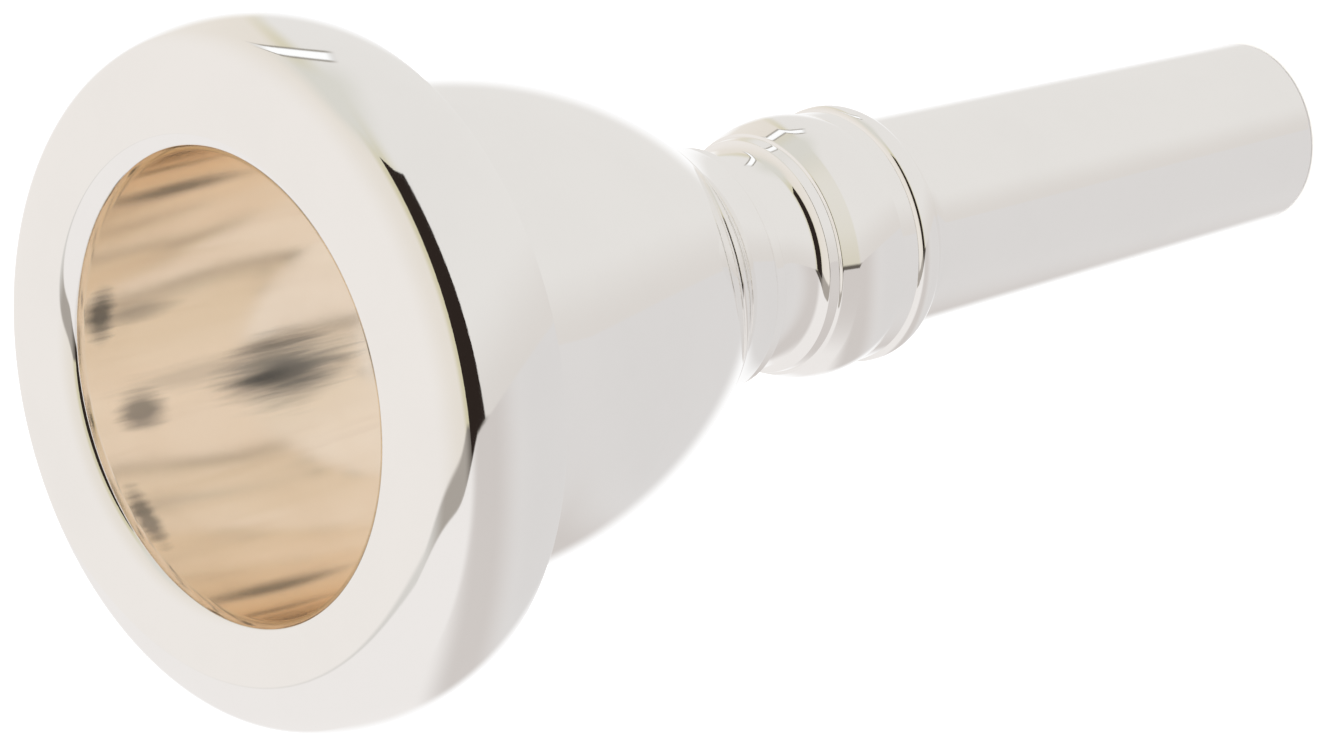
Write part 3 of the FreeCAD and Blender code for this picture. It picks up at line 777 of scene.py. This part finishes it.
def make_studio_light():
    """A pale room with a table, its shadowed edge and a lamp; the camera itself sees plain white."""
    world = bpy.data.worlds.new("studio")
    bpy.context.scene.world = world
    world.use_nodes = True
    tree = world.node_tree
    tree.nodes.clear()
    across, up = half_angle_plane(tree)
    over_table = up - horizon(across, Signal.root)

    left, right = card_sides(up)
    card_left, card_right = across - left, across - right
    right_field = mixed(tree, RIGHT_FIELD_LOW, RIGHT_FIELD, over_table.ramp(*RIGHT_FIELD_FOOT))
    left_field = mixed(tree, FIELD, FIELD_NEAR_CARD, card_left.ramp(*NEAR_CARD))
    left_field = mixed(tree, left_field, CARD_MARGIN, card_left.ramp(*CARD_MARGIN_EDGE))
    room = mixed(tree, left_field, right_field, card_right.ramp(*PAST_CARD))
    smear_width = across.ramp(*SMEAR_LEFT) * across.ramp(*SMEAR_RIGHT)
    smear_height = up.ramp(*SMEAR_FOOT) * up.ramp(*SMEAR_TOP)
    room = mixed(tree, room, SMEAR, smear_width * smear_height)
    from_strip = (up - LAMP_STRIP_LEVEL - across * LAMP_STRIP_SLOPE).size()
    strip = across.ramp(*STRIP_LEFT) * across.ramp(*STRIP_RIGHT)
    room = mixed(tree, room, LAMP_FRAME, from_strip.ramp(*STRIP_FRAME_EDGE) * strip)
    room = mixed(tree, room, LAMP_STRIP, from_strip.ramp(*STRIP_EDGE) * strip)

    wedge_depth = ((WEDGE_PEAK - across).above(0) * -WEDGE_LEFT_SLOPE
                   - (across - WEDGE_PEAK).above(0) * WEDGE_RIGHT_SLOPE + WEDGE_THICKNESS)
    wedge = mixed(tree, WEDGE, WEDGE_DARK, (across - WEDGE_CORE).size().ramp(*WEDGE_CORE_EDGE))
    wedge = mixed(tree, wedge, WEDGE_FAINT, across.ramp(*WEDGE_FADE))
    room = mixed(tree, room, wedge, (over_table - wedge_depth).ramp(*WEDGE_EDGE))

    table = mixed(tree, TABLE, TABLE_RIGHT, across.ramp(*TABLE_TURN))
    card_shadow = (across - CARD_SHADOW_CORE).size().ramp(*CARD_SHADOW_EDGE)
    table = mixed(tree, table, TABLE_UNDER_CARD, card_shadow)
    room = mixed(tree, room, table, over_table.ramp(*TABLE_EDGE))

    from_centre = (across * across + up * up).root()
    room = mixed(tree, room, BACKDROP, from_centre.ramp(*BACKDROP_EDGE))
    seen = Signal(tree, add(tree, "ShaderNodeLightPath").outputs["Is Camera Ray"])
    room = mixed(tree, room, WHITE, seen)
    background = add(tree, "ShaderNodeBackground", {"Color": room, "Strength": 1.0})
    output = add(tree, "ShaderNodeOutputWorld")
    tree.links.new(background.outputs[0], output.inputs["Surface"])


def card_corner(share, rise):
    """A point of the card, by its share of the way across and of the way up from the table."""
    def across_at(up):
        left, right = card_sides(up)
        return left + (right - left) * share

    foot = CARD_FOOT_GUESS
    for _ in range(CARD_FOOT_ROUNDS):
        foot = horizon(across_at(foot), math.sqrt)
    up = foot + (CARD_TOP - foot) * rise
    across = across_at(up)
    toward = math.sqrt(1 - across ** 2 - up ** 2)
    ray = Vector((2 * toward * across, 2 * toward * up, 2 * toward ** 2 - 1))
    return CARD_SEEN_FROM + camera_turn().to_3x3() @ ray * CARD_DISTANCE


def make_card():
    """The leaning black card, near the part, so that rim and beads see it from their own places."""
    shares = [n / CARD_STEPS for n in range(CARD_STEPS + 1)]
    corners = [card_corner(share, rise) for share in shares for rise in shares]
    row = CARD_STEPS + 1
    faces = [(n, n + 1, n + row + 1, n + row) for n in range(row * CARD_STEPS) if n % row < CARD_STEPS]
    mesh = bpy.data.meshes.new("black_card")
    mesh.from_pydata(corners, [], faces)
    card = bpy.data.objects.new("black_card", mesh)
    bpy.context.scene.collection.objects.link(card)
    material = bpy.data.materials.new("black_card")
    material.use_nodes = True
    tree = material.node_tree
    tree.nodes.clear()
    glow = add(tree, "ShaderNodeEmission", {"Color": BLACK_CARD, "Strength": 1.0})
    output = add(tree, "ShaderNodeOutputMaterial")
    tree.links.new(glow.outputs[0], output.inputs["Surface"])
    mesh.materials.append(material)
    card.visible_camera = False
    card.visible_diffuse = False
    card.visible_shadow = False


def make_floor():
    """A plain pale floor, which the metal doesn't mirror: the studio stands for it there."""
    corners = [(-FLOOR_HALF, -FLOOR_HALF, 0), (FLOOR_HALF, -FLOOR_HALF, 0),
               (FLOOR_HALF, FLOOR_HALF, 0), (-FLOOR_HALF, FLOOR_HALF, 0)]
    mesh = bpy.data.meshes.new("floor")
    mesh.from_pydata(corners, [], [(0, 1, 2, 3)])
    floor = bpy.data.objects.new("floor", mesh)
    bpy.context.scene.collection.objects.link(floor)
    material, tree, shader = new_material("floor_paper", FLOOR_COLOUR)
    shader.inputs["Roughness"].default_value = FLOOR_ROUGHNESS
    shader.inputs["Specular IOR Level"].default_value = 0.0
    mesh.materials.append(material)
    floor.visible_glossy = False


def make_lamp():
    """A wide soft lamp overhead, which lights the floor and isn't mirrored in the metal."""
    data = bpy.data.lights.new("soft_lamp", "AREA")
    data.shape = "DISK"
    data.size = LAMP_SIZE
    data.energy = LAMP_POWER
    lamp = bpy.data.objects.new("soft_lamp", data)
    lamp.location = (0, 0, LAMP_HEIGHT)
    lamp.visible_glossy = False
    lamp.visible_camera = False
    bpy.context.scene.collection.objects.link(lamp)


make_pieces()
make_camera()
make_studio_light()
make_card()
make_floor()
make_lamp()
bpy.context.scene.view_settings.view_transform = "Standard"
bpy.context.scene.cycles.max_bounces = MIRROR_BOUNCES
bpy.context.scene.cycles.glossy_bounces = MIRROR_BOUNCES
